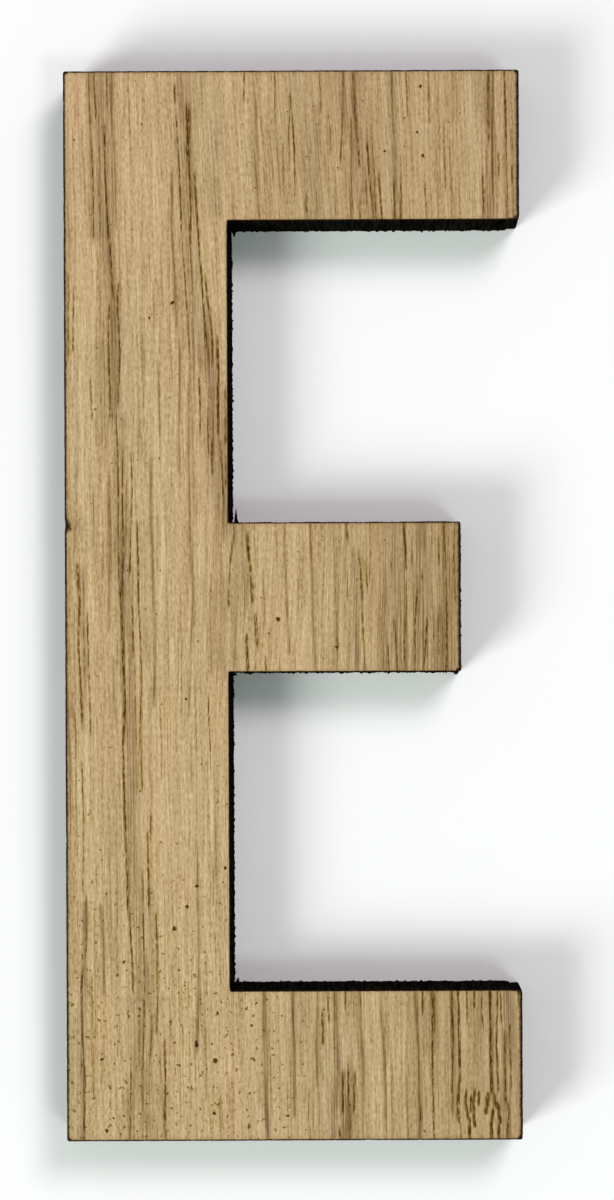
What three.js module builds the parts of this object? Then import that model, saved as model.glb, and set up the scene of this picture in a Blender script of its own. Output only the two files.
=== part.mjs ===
// A capital letter E, laser-cut in one pass from oak-veneered fibreboard.
// Five bonded layers share one outline, and the cut runs straight down through all of them.
// Units are millimetres. +X points to the ends of the arms, +Y to the top of the letter and
// +Z out of its oak face. The origin is under the middle of the letter, on its back.

import * as THREE from 'three';

// Outline of the letter
const LETTER_HEIGHT = 100;
const LETTER_WIDTH = 42.6;
const STEM_WIDTH = 15.3;
const ARM_HEIGHT = 14;
const MIDDLE_ARM_REACH = 37; // from the outer edge of the stem
const MIDDLE_ARM_RAISE = 0.8; // of the middle arm's centre above half height

// The beam rounds the tips of the arms a little, and its own width rounds the inner corners.
const OUTER_CORNER_RADIUS = 0.25;
const INNER_CORNER_RADIUS = 0.15;
const CORNER_STEPS = 4;

// Build-up of the board
const VENEER_THICKNESS = 0.6;
const GLUE_LINE_THICKNESS = 0.1;
const BOARD_THICKNESS = 6;
const CORE_THICKNESS = BOARD_THICKNESS - 2 * (VENEER_THICKNESS + GLUE_LINE_THICKNESS);

// Colours as seen in daylight
const OAK = { color: 0xc3a071, roughness: 0.62, metalness: 0 };
const GLUE = { color: 0x1c130b, roughness: 0.7, metalness: 0 };
const FIBREBOARD = { color: 0x0c0b09, roughness: 0.9, metalness: 0 };

// The layers from the back of the letter to its face
const LAYERS = [
  { name: 'back_veneer', thickness: VENEER_THICKNESS, finish: OAK },
  { name: 'back_glue_line', thickness: GLUE_LINE_THICKNESS, finish: GLUE },
  { name: 'core_board', thickness: CORE_THICKNESS, finish: FIBREBOARD },
  { name: 'face_glue_line', thickness: GLUE_LINE_THICKNESS, finish: GLUE },
  { name: 'face_veneer', thickness: VENEER_THICKNESS, finish: OAK },
];

// The corners of the letter, counter-clockwise from the foot of the stem. A notch corner
// lies between two arms, where the outline turns the other way.
function letterCorners() {
  const left = -LETTER_WIDTH / 2;
  const right = LETTER_WIDTH / 2;
  const stemEdge = left + STEM_WIDTH;
  const middleTip = left + MIDDLE_ARM_REACH;
  const top = LETTER_HEIGHT / 2;
  const bottom = -LETTER_HEIGHT / 2;
  const middleTop = MIDDLE_ARM_RAISE + ARM_HEIGHT / 2;
  const middleBottom = MIDDLE_ARM_RAISE - ARM_HEIGHT / 2;
  return [
    { x: left, y: bottom, notch: false },
    { x: right, y: bottom, notch: false },
    { x: right, y: bottom + ARM_HEIGHT, notch: false },
    { x: stemEdge, y: bottom + ARM_HEIGHT, notch: true },
    { x: stemEdge, y: middleBottom, notch: true },
    { x: middleTip, y: middleBottom, notch: false },
    { x: middleTip, y: middleTop, notch: false },
    { x: stemEdge, y: middleTop, notch: true },
    { x: stemEdge, y: top - ARM_HEIGHT, notch: true },
    { x: right, y: top - ARM_HEIGHT, notch: false },
    { x: right, y: top, notch: false },
    { x: left, y: top, notch: false },
  ];
}

// The point at a given distance from one corner, on the straight edge towards another.
function pointTowards(from, to, distance) {
  const start = new THREE.Vector2(from.x, from.y);
  const direction = new THREE.Vector2(to.x, to.y).sub(start).normalize();
  return start.addScaledVector(direction, distance);
}

// One closed outline with every corner rounded to its own radius.
function letterOutline() {
  const corners = letterCorners();
  const outline = new THREE.Shape();
  corners.forEach((corner, index) => {
    const before = corners.at(index - 1);
    const after = corners[(index + 1) % corners.length];
    const radius = corner.notch ? INNER_CORNER_RADIUS : OUTER_CORNER_RADIUS;
    const arcStart = pointTowards(corner, before, radius);
    const arcEnd = pointTowards(corner, after, radius);
    if (index === 0) {
      outline.moveTo(arcStart.x, arcStart.y);
    } else {
      outline.lineTo(arcStart.x, arcStart.y);
    }
    outline.quadraticCurveTo(corner.x, corner.y, arcEnd.x, arcEnd.y);
  });
  outline.closePath();
  return outline;
}

// One layer of the board, cut to the outline, with its lower face at z = 0.
function cutLayer(outline, layer) {
  const geometry = new THREE.ExtrudeGeometry(outline, {
    depth: layer.thickness,
    bevelEnabled: false,
    curveSegments: CORNER_STEPS,
  });
  const mesh = new THREE.Mesh(geometry, new THREE.MeshStandardMaterial(layer.finish));
  mesh.name = layer.name;
  return mesh;
}

// The layers stand on each other, each one bonded to the face of the layer under it.
function buildLetter() {
  const letter = new THREE.Group();
  const outline = letterOutline();
  let height = 0;
  for (const layer of LAYERS) {
    const mesh = cutLayer(outline, layer);
    mesh.position.z = height;
    letter.add(mesh);
    height += layer.thickness;
  }
  return letter;
}

export default buildLetter();
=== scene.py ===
# %% [markdown]
# This lesson dresses a capital letter E that a laser cut from oak-veneered fibreboard. Its five
# glued layers come in as plain solids, which stay where they are. They could keep their flat
# shapes and get new materials, but real oak has open pores and a burnt cut is never clean. So
# each layer is modelled again in the place of its solid, which is then hidden.

# %% Load the frame
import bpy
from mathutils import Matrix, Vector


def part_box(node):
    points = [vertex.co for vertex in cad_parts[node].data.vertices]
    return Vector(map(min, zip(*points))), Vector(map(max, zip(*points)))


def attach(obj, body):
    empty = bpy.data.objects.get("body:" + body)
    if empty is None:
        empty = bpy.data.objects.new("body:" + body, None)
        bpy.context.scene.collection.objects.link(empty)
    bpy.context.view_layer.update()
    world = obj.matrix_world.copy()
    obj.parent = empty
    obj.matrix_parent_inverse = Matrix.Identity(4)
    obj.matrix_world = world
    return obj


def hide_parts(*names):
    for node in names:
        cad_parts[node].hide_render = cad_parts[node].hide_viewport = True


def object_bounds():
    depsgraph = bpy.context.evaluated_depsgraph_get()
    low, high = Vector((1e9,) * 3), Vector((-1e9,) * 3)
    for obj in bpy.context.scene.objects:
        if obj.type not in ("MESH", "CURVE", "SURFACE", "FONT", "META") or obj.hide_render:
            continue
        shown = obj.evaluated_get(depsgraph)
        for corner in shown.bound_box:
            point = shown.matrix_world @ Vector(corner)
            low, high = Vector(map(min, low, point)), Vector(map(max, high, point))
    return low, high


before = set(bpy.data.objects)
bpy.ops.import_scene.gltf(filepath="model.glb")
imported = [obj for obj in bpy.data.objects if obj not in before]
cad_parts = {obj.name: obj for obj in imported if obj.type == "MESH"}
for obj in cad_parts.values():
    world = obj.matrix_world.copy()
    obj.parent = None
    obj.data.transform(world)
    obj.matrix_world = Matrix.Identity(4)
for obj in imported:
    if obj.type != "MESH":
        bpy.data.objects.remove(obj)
cad_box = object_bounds()
print("layers:", sorted(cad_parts))

# %% [markdown]
# All five layers have one outline, because one cut went down through them all. It could be typed
# in again here, but then two files would hold the same sizes. Instead it is read from a solid:
# its loose triangles are merged and dissolved into flat faces. The faces of its cut walls go into
# a search tree, which tells how far any point is from the cut.

# %% Read the outline
import math

import bmesh
from mathutils import Euler, Vector, noise
from mathutils.bvhtree import BVHTree
from mathutils.geometry import intersect_line_line

MM = 0.001
MERGE_DISTANCE = 0.001 * MM
FLAT_ANGLE = math.radians(1)
LEVEL = 0.5
SHORTEST_CUT = 2 * MM


def merged_layer(node):
    """A copy of one solid, with its loose triangles merged into flat faces."""
    layer = bmesh.new()
    layer.from_mesh(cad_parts[node].data)
    bmesh.ops.remove_doubles(layer, verts=layer.verts, dist=MERGE_DISTANCE)
    bmesh.ops.dissolve_limit(
        layer, angle_limit=FLAT_ANGLE, verts=layer.verts, edges=layer.edges
    )
    layer.normal_update()
    return layer


def keep_faces(layer, wanted):
    """Deletes the faces that a test doesn't want, with their spare edges and points."""
    spare = [face for face in layer.faces if not wanted(face)]
    bmesh.ops.delete(layer, geom=spare, context="FACES")
    return layer


def sharp_corners(outline):
    """The points where the straight cuts would meet, and whether each is deep in a notch."""
    (face,) = outline.faces
    cuts = [loop for loop in face.loops if loop.edge.calc_length() > SHORTEST_CUT]
    corners = []
    for cut, following in zip(cuts, cuts[1:] + cuts[:1]):
        start, end = cut.vert.co, cut.link_loop_next.vert.co
        next_start, next_end = following.vert.co, following.link_loop_next.vert.co
        meeting = intersect_line_line(start, end, next_start, next_end)[0]
        turn = (end - start).cross(next_end - next_start).dot(face.normal)
        corners.append((meeting, turn < 0))
    return corners


outline = keep_faces(merged_layer("core_board"), lambda face: face.normal.z < -LEVEL)
CORNERS = sharp_corners(outline)
NOTCH_CORNERS = [corner for corner, in_notch in CORNERS if in_notch]
outline.free()

walls = keep_faces(merged_layer("core_board"), lambda face: abs(face.normal.z) < LEVEL)
WALL_TREE = BVHTree.FromBMesh(walls)
walls.free()

core_low, core_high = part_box("core_board")
HALF_WAY_UP = (core_low.z + core_high.z) / 2
BOARD_THICKNESS = cad_box[1].z - cad_box[0].z


def nearest_cut(x, y):
    """The nearest point of the clean cut, the way the wall faces there, and how far it is."""
    point, facing, _, gap = WALL_TREE.find_nearest(Vector((x, y, HALF_WAY_UP)))
    return point, facing, gap


print(len(CORNERS), "corners,", len(NOTCH_CORNERS), "of them in the notches")

# %% [markdown]
# A laser doesn't leave a smooth wall. The beam pulses draw fine upright lines, the cut wanders a
# little and gets narrower downwards, and burnt resin hangs as a ragged burr along the lower edge.
# One function gives the true place of the wall at any height, so the charred lines run on from
# layer to layer. On the outside of the letter it only ever moves the wall inwards, which keeps
# the letter inside its real size, and leaves a shallow nick where the beam started on the left.
# In the notches the wall may stand out, but less near a corner, where two walls would meet.

# %% Describe the burnt wall
WANDER = 0.05 * MM
STRIATION = 0.03 * MM
STRIATION_LEAN = 0.03
CUT_SLOPE = 0.14 * MM
BURR = 0.22 * MM
BURR_HEIGHT = 1.4 * MM
CRUMB_SHARE = 0.9
NICK_Y = 7.6 * MM
NICK_LENGTH = 0.5 * MM
NICK_DEPTH = 0.06 * MM
CORNER_ROOM = 0.06 * MM
CORNER_FLARE = 0.25
OUTSIDE_BAND = 1 * MM

# How often each unevenness repeats, per mm along the wall and per mm up it. The third number is
# its place in the noise, far from the others, so that no two of them move together.
WANDER_NOISE = (0.8, 0.3, 0.0)
STRIATION_NOISE = (4.0, 0.2, 7.0)
BURR_NOISE = (2.6, 0.4, 13.0)
CRUMB_NOISE = (7.8, 0.8, 19.0)


def between(low, value, high):
    """A value, held between two limits."""
    return max(low, min(value, high))


def unevenness(along, up, kind):
    """One kind of unevenness at a place on the wall in mm, as a swing about nought."""
    along_rate, up_rate, place_in_noise = kind
    return noise.noise((along * along_rate, up * up_rate, place_in_noise))


def on_outside(point):
    """Whether a point of the cut is on the outer rectangle of the letter."""
    low, high = cad_box
    across = min(point.x - low.x, high.x - point.x)
    along = min(point.y - low.y, high.y - point.y)
    return min(across, along) < OUTSIDE_BAND


def corner_room(point):
    """How far a wall may stand out without meeting its neighbour in a notch corner."""
    gap = min((point.xy - corner.xy).length for corner in NOTCH_CORNERS)
    return CORNER_ROOM + CORNER_FLARE * gap


def in_nick(y, facing):
    """How far a point of the left edge is in the nick, from 0 to 1."""
    return math.exp(-(((y - NICK_Y) / NICK_LENGTH) ** 2)) if facing.x < -LEVEL else 0.0


def burnt_wall(x, y, height):
    """Where the burnt wall runs beside a point of the clean cut."""
    clean, facing, _ = nearest_cut(x, y)
    along = (clean.x + clean.y) / MM
    up = height / MM
    out = WANDER * unevenness(along, up, WANDER_NOISE)
    out += STRIATION * unevenness(along + STRIATION_LEAN * up, up, STRIATION_NOISE)
    if on_outside(clean):
        out = min(out, 0.0) - NICK_DEPTH * in_nick(clean.y, facing)
    else:
        ragged = unevenness(along, up, BURR_NOISE)
        ragged += CRUMB_SHARE * unevenness(along, up, CRUMB_NOISE)
        low_down = between(0, 1 - height / BURR_HEIGHT, 1)
        out += CUT_SLOPE * (1 - height / BOARD_THICKNESS) + BURR * low_down * max(0.0, ragged)
        out = min(out, corner_room(clean))
    return clean + facing * out


print("a notch gets", CUT_SLOPE / MM, "mm narrower on each side towards the back")

# %% [markdown]
# The core is fibreboard, and all that shows of it is its charred wall. A displacement map could
# roughen a smooth wall, but the ragged lower edge is part of the letter's silhouette, so it is
# real geometry here. The flat outline is divided into short steps and extruded upwards row by
# row. Its two ends are cut into triangles while the outline is still clean, because a ragged one
# is hard to fill, and only then every point is moved to where the burnt wall runs.

# %% Build the charred layers
import bpy

WALL_STEP = 0.15 * MM
CORE_ROWS = 20
GLUE_ROWS = 1


def step_outline(layer):
    """Divides every straight cut of a flat outline into short steps."""
    for edge in layer.edges[:]:
        steps = round(edge.calc_length() / WALL_STEP)
        if steps > 1:
            bmesh.ops.subdivide_edges(layer, edges=[edge], cuts=steps - 1)


def charred_layer(node, rows):
    """A layer of the board with a burnt wall, as one closed mesh."""
    low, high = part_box(node)
    layer = keep_faces(merged_layer(node), lambda face: face.normal.z < -LEVEL)
    step_outline(layer)
    (bottom,) = layer.faces
    top = bottom
    rise = Vector((0, 0, (high.z - low.z) / rows))
    for _ in range(rows):
        region = [top] + top.edges[:] + top.verts[:]
        made = bmesh.ops.extrude_face_region(layer, geom=region)["geom"]
        (top,) = [part for part in made if isinstance(part, bmesh.types.BMFace)]
        bmesh.ops.translate(layer, vec=rise, verts=top.verts[:])
    bmesh.ops.triangulate(layer, faces=[bottom, top])
    for vert in layer.verts:
        vert.co.xy = burnt_wall(*vert.co).xy
    bmesh.ops.recalc_face_normals(layer, faces=layer.faces)
    return layer


def add_object(name, data):
    """A new object in the scene."""
    thing = bpy.data.objects.new(name, data)
    bpy.context.scene.collection.objects.link(thing)
    return thing


def mesh_object(layer, name):
    """Turns a bmesh into an object."""
    mesh = bpy.data.meshes.new(name)
    layer.to_mesh(mesh)
    layer.free()
    return add_object(name, mesh)


def finish_piece(layer, name, node):
    """Turns a bmesh into a piece that rides on the letter and stands for one of its layers."""
    piece = mesh_object(layer, name)
    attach(piece, "root")
    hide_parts(node)
    print(name, "has", len(piece.data.polygons), "faces")
    return piece


core = charred_layer("core_board", CORE_ROWS)
back_bond = charred_layer("back_glue_line", GLUE_ROWS)
face_bond = charred_layer("face_glue_line", GLUE_ROWS)
print(len(core.faces), "faces on the core,", len(face_bond.faces), "on each glue line")

# %% [markdown]
# In the notch corners, where the beam paused to turn, burnt resin sticks out of the wall in lumps
# and splinters. They could be separate cones, but they grow out of the wall, so they are pulled
# out of it: one small face of the wall is extruded in steps towards a tip, and each step is set
# to the width that the splinter has there.

# %% Pull out the splinters
SPLINTER_STEPS = 5
TIP_NARROWING = 0.85
SPLINTERS = [
    # root x, y and z on the wall, x and y of the tip, width and thickness at the root, all in mm
    (-5.48, 7.8, 1.0, -5.48, 8.30, 0.62, 0.8),
    (-5.45, 7.8, 2.4, -5.45, 9.25, 0.38, 0.4),
    (-5.55, 36.0, 0.9, -5.60, 35.25, 0.50, 0.6),
    (-5.60, -36.0, 1.2, -5.45, -35.30, 0.50, 0.6),
    (-6.00, -6.5, 0.9, -5.50, -6.50, 0.45, 0.8),
    (15.42, -6.2, 0.9, 15.50, -6.52, 0.75, 0.5),
    (1.10, -6.2, 0.9, 1.10, -6.45, 0.45, 0.5),
    (2.60, -6.2, 0.9, 2.65, -6.42, 0.40, 0.5),
    (9.00, -6.2, 0.9, 9.00, -6.45, 0.45, 0.5),
]


def pull_splinter(layer, root, tip, width, thickness):
    """Extrudes the wall face nearest to a root into a splinter that narrows towards its tip."""
    face = min(layer.faces, key=lambda part: (part.calc_center_median() - root).length)
    start = face.calc_center_median()
    reach = tip - start
    across = Vector((-reach.y, reach.x, 0)).normalized()
    for step in range(1, SPLINTER_STEPS + 1):
        share = step / SPLINTER_STEPS
        middle = face.calc_center_median()
        face = bmesh.ops.extrude_discrete_faces(layer, faces=[face])["faces"][0]
        slimmer = 1 - TIP_NARROWING * share
        for vert in face.verts:
            side = math.copysign(width / 2 * slimmer, (vert.co - middle).dot(across))
            level = math.copysign(thickness / 2 * slimmer, vert.co.z - middle.z)
            vert.co = start + reach * share + across * side + Vector((0, 0, level))


for root_x, root_y, root_z, tip_x, tip_y, width, thickness in SPLINTERS:
    root = Vector((root_x, root_y, root_z)) * MM
    tip = Vector((tip_x, tip_y, root_z)) * MM
    pull_splinter(core, root, tip, width * MM, thickness * MM)
charred_core = finish_piece(core, "charred_core", "core_board")
back_glue = finish_piece(back_bond, "burnt_back_glue", "back_glue_line")
face_glue = finish_piece(face_bond, "burnt_face_glue", "face_glue_line")

# %% [markdown]
# Oak is known by its vessels: long open pores that run with the grain and look like dark
# scratches. Painting them with a noise texture alone would leave the face flat, and would put
# them anywhere. So they are drawn, in millimetres, as lines on a drawing sheet. The sheet is
# read twice, once to press the pores into the mesh and once to colour them, so the dark lines
# and the grooves always agree. Each line tapers, wavers and is beaded along its length.

# %% Lay out the drawing sheets
import numpy as np

CELL_ACROSS = 0.04
CELL_ALONG = 0.1
LINE_REACH = 2.6
TAPER_LENGTH = 0.7
BLUNT_END = 0.25
BEAD_LENGTH = 0.7
BEADING = 0.4
FADE_LENGTH = 4.0
FADING = 0.3
WAVER = 0.6
SHEET_MARGIN = 1
JUST_INSIDE = 1.001
SHEET_LOW = np.array(cad_box[0][:2]) / MM - SHEET_MARGIN
SHEET_HIGH = np.array(cad_box[1][:2]) / MM + SHEET_MARGIN
SHEET_X = np.arange(SHEET_LOW[0], SHEET_HIGH[0], CELL_ACROSS)
SHEET_Y = np.arange(SHEET_LOW[1], SHEET_HIGH[1], CELL_ALONG)


def blank_sheet():
    """A sheet with no marks on it."""
    return np.zeros((len(SHEET_Y), len(SHEET_X)))


def smooth_random(draw, places, spacing):
    """Random values from 0 to 1 that change smoothly along a line of places."""
    knots = np.arange(places.min() - spacing, places.max() + 2 * spacing, spacing)
    return np.interp(places, knots, draw.random(len(knots)))


def draw_line(sheet, draw, line):
    """Draws one mark of the grain through its points, keeping the darker value."""
    width, depth, *points = line
    x_points, y_points = np.array(points[::-1]).T
    rows = np.flatnonzero((SHEET_Y >= y_points[0]) & (SHEET_Y <= y_points[-1]))
    if len(rows) < 2:
        return
    y = SHEET_Y[rows]
    sway = smooth_random(draw, y, FADE_LENGTH) - 0.5
    middle = np.interp(y, y_points, x_points) + WAVER * width * sway
    end_gap = np.minimum(y - y_points[0], y_points[-1] - y)
    strength = np.clip(end_gap / TAPER_LENGTH + BLUNT_END, 0, 1)
    strength *= 1 - BEADING * smooth_random(draw, y, BEAD_LENGTH)
    strength *= 1 - FADING * smooth_random(draw, y, FADE_LENGTH)
    reach = LINE_REACH * width
    columns = np.flatnonzero((SHEET_X > middle.min() - reach) & (SHEET_X < middle.max() + reach))
    if len(columns) == 0:
        return
    across = (SHEET_X[columns][None, :] - middle[:, None]) / width
    mark = depth * strength[:, None] * np.exp(-(across**2))
    part = np.ix_(rows, columns)
    sheet[part] = np.maximum(sheet[part], mark)


def read_sheet(sheet, x, y):
    """The sheet's values at points given in millimetres, blended between its cells."""
    column = np.clip((x - SHEET_X[0]) / CELL_ACROSS, 0, len(SHEET_X) - JUST_INSIDE)
    row = np.clip((y - SHEET_Y[0]) / CELL_ALONG, 0, len(SHEET_Y) - JUST_INSIDE)
    left, low = column.astype(int), row.astype(int)
    u, v = column - left, row - low
    lower = sheet[low, left] * (1 - u) + sheet[low, left + 1] * u
    upper = sheet[low + 1, left] * (1 - u) + sheet[low + 1, left + 1] * u
    return lower * (1 - v) + upper * v


print("drawing sheet of", len(SHEET_Y), "by", len(SHEET_X), "cells")

# %% [markdown]
# The boldest marks make this leaf of oak the one that it is, so they are listed one by one, for
# the stem and for each arm. A mark has a width in millimetres, a depth that is 1 for a deep pore,
# and the x and y of a few points that it runs through, from its upper end down. Pores are sharp
# and dark, and the short curled ones at the end of the bottom arm are the deepest.

# %% Place the bold pores of the stem
STEM_PORES = [
    (0.09, 0.85, (-18.4, 50.0), (-18.35, 48.0), (-18.2, 45.5)),
    (0.08, 0.60, (-18.95, 50.0), (-18.75, 45.0), (-18.5, 40.0), (-18.5, 34.0)),
    (0.09, 0.70, (-17.2, 50.0), (-17.15, 46.5)),
    (0.09, 0.95, (-17.4, 45.2), (-17.35, 40.0), (-17.2, 36.5), (-17.05, 34.0)),
    (0.10, 0.90, (-17.0, 34.5), (-16.85, 31.5), (-16.65, 28.5)),
    (0.08, 0.55, (-17.9, 43.5), (-17.95, 38.0), (-17.8, 33.5)),
    (0.10, 0.95, (-16.2, 30.2), (-16.25, 27.5), (-16.05, 24.0), (-16.25, 18.7)),
    (0.10, 0.80, (-17.0, 28.5), (-17.15, 25.0), (-17.05, 21.0), (-16.95, 17.0)),
    (0.09, 0.85, (-16.45, 18.2), (-16.3, 14.5), (-16.25, 10.0), (-16.3, 5.0), (-16.1, 0.0)),
    (0.08, 0.90, (-15.85, 14.6), (-15.9, 10.0), (-15.8, 5.0)),
    (0.11, 1.00, (-15.8, 6.0), (-16.0, 0.0), (-15.85, -5.0), (-15.75, -9.0), (-15.95, -14.0)),
    (0.11, 0.95, (-15.95, -13.0), (-15.75, -20.0), (-15.6, -26.0), (-15.5, -29.0)),
    (0.08, 0.85, (-15.1, 14.5), (-14.95, 11.0), (-15.1, 8.0), (-15.25, 2.5)),
    (0.10, 0.80, (-15.05, 1.0), (-14.9, -4.7)),
    (0.09, 0.85, (-14.55, 8.0), (-14.45, 4.0), (-14.4, 0.0), (-14.25, -4.0)),
    (0.10, 0.80, (-14.25, -3.5), (-14.2, -8.0), (-14.3, -12.0), (-14.15, -17.5)),
    (0.08, 0.50, (-14.8, -5.0), (-14.75, -10.0), (-14.6, -18.0)),
    (0.07, 0.60, (-15.55, 12.0), (-15.5, 6.0)),
    (0.10, 0.95, (-10.9, 48.8), (-10.8, 46.8)),
    (0.08, 0.75, (-10.75, 46.5), (-10.5, 42.0), (-10.3, 37.0), (-10.25, 34.0)),
    (0.08, 0.85, (-10.25, 34.5), (-10.0, 31.0), (-9.75, 27.0), (-9.55, 23.5)),
    (0.24, 0.85, (-9.65, 47.2), (-9.6, 45.0), (-9.6, 41.5)),
    (0.09, 0.85, (-9.65, 43.5), (-9.5, 40.0), (-9.4, 37.0), (-9.4, 33.8)),
    (0.07, 0.55, (-9.85, 44.5), (-9.8, 40.0), (-9.6, 36.0), (-9.2, 29.0)),
    (0.10, 0.95, (-9.05, 40.7), (-8.9, 38.0), (-8.7, 35.0), (-8.55, 32.0)),
    (0.09, 0.90, (-8.55, 32.5), (-8.3, 29.0), (-8.1, 26.0), (-8.0, 23.8)),
    (0.09, 0.85, (-8.1, 31.2), (-7.9, 29.0), (-7.6, 26.5)),
    (0.10, 0.95, (-7.6, 27.0), (-7.4, 24.5), (-7.4, 22.3)),
    (0.13, 0.95, (-6.95, 25.3), (-6.9, 22.0), (-6.95, 18.0), (-6.9, 15.8)),
    (0.09, 0.75, (-8.7, 21.8), (-8.6, 18.0), (-8.6, 15.8)),
    (0.08, 0.60, (-7.9, 18.8), (-7.8, 13.8)),
    (0.09, 0.90, (-7.5, 15.8), (-7.45, 12.0)),
    (0.09, 0.85, (-6.7, 15.6), (-6.5, 11.0), (-6.4, 9.3)),
    (0.10, 0.85, (-6.25, 20.5), (-6.25, 14.8)),
    (0.09, 0.80, (-6.2, 14.5), (-6.2, 10.8)),
    (0.07, 0.50, (-8.6, 25.0), (-8.5, 21.5)),
    (0.09, 0.65, (-18.9, 21.6), (-18.65, 17.0)),
    (0.07, 0.50, (-17.75, 6.5), (-17.7, 2.8)),
    (0.15, 0.85, (-20.15, 4.2), (-19.9, 0.5), (-20.05, -3.0)),
    (0.10, 0.80, (-20.05, -2.5), (-19.9, -6.0), (-19.7, -11.0)),
    (0.08, 0.55, (-19.55, 2.6), (-19.6, -2.0), (-19.45, -8.0)),
    (0.09, 0.85, (-19.2, -0.5), (-19.1, -6.0), (-18.95, -12.2)),
    (0.09, 0.70, (-20.85, 31.5), (-20.9, 23.0)),
    (0.08, 0.70, (-20.35, 30.5), (-20.45, 23.5)),
    (0.10, 0.60, (-20.45, -9.5), (-20.3, -13.8)),
    (0.10, 0.60, (-19.8, -14.3), (-19.65, -20.0), (-19.75, -27.0)),
    (0.13, 0.55, (-19.45, -26.8), (-19.35, -30.0), (-19.5, -33.0)),
    (0.11, 0.73, (-19.75, -33.5), (-19.9, -36.0), (-19.85, -40.0), (-19.6, -44.5), (-19.75, -50.0)),
    (0.10, 0.56, (-18.95, -34.0), (-18.85, -40.0), (-18.8, -47.0)),
    (0.10, 0.80, (-15.45, -28.0), (-15.15, -33.0), (-15.1, -36.4)),
    (0.09, 0.60, (-14.15, -24.5), (-14.1, -30.0), (-14.0, -36.5)),
    (0.11, 0.69, (-14.0, -36.0), (-14.05, -40.0), (-14.2, -44.0), (-14.2, -47.5)),
    (0.09, 0.52, (-14.15, -47.0), (-14.2, -50.0)),
    (0.09, 0.80, (-13.35, -19.0), (-13.4, -22.5)),
    (0.10, 0.80, (-13.65, -20.8), (-13.6, -25.0), (-13.6, -28.5)),
    (0.10, 0.73, (-12.9, -28.2), (-12.85, -34.0), (-12.8, -37.0), (-12.95, -40.3)),
    (0.10, 0.60, (-13.35, -38.0), (-13.5, -42.5)),
    (0.10, 0.82, (-12.15, -40.4), (-12.05, -44.0), (-12.2, -47.0), (-12.05, -50.0)),
    (0.09, 0.69, (-15.3, -43.0), (-15.4, -50.0)),
    (0.10, 0.47, (-14.6, -37.5), (-14.5, -43.5)),
    (0.08, 0.65, (-7.95, -8.0), (-7.8, -13.0), (-7.75, -15.5)),
    (0.08, 0.55, (-12.5, -7.5), (-12.35, -12.0), (-12.3, -16.5)),
    (0.09, 0.47, (-8.3, -39.0), (-8.25, -46.5)),
    (0.08, 0.43, (-6.95, -45.5), (-7.0, -50.0)),
]
print(len(STEM_PORES), "bold pores on the stem")

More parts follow.
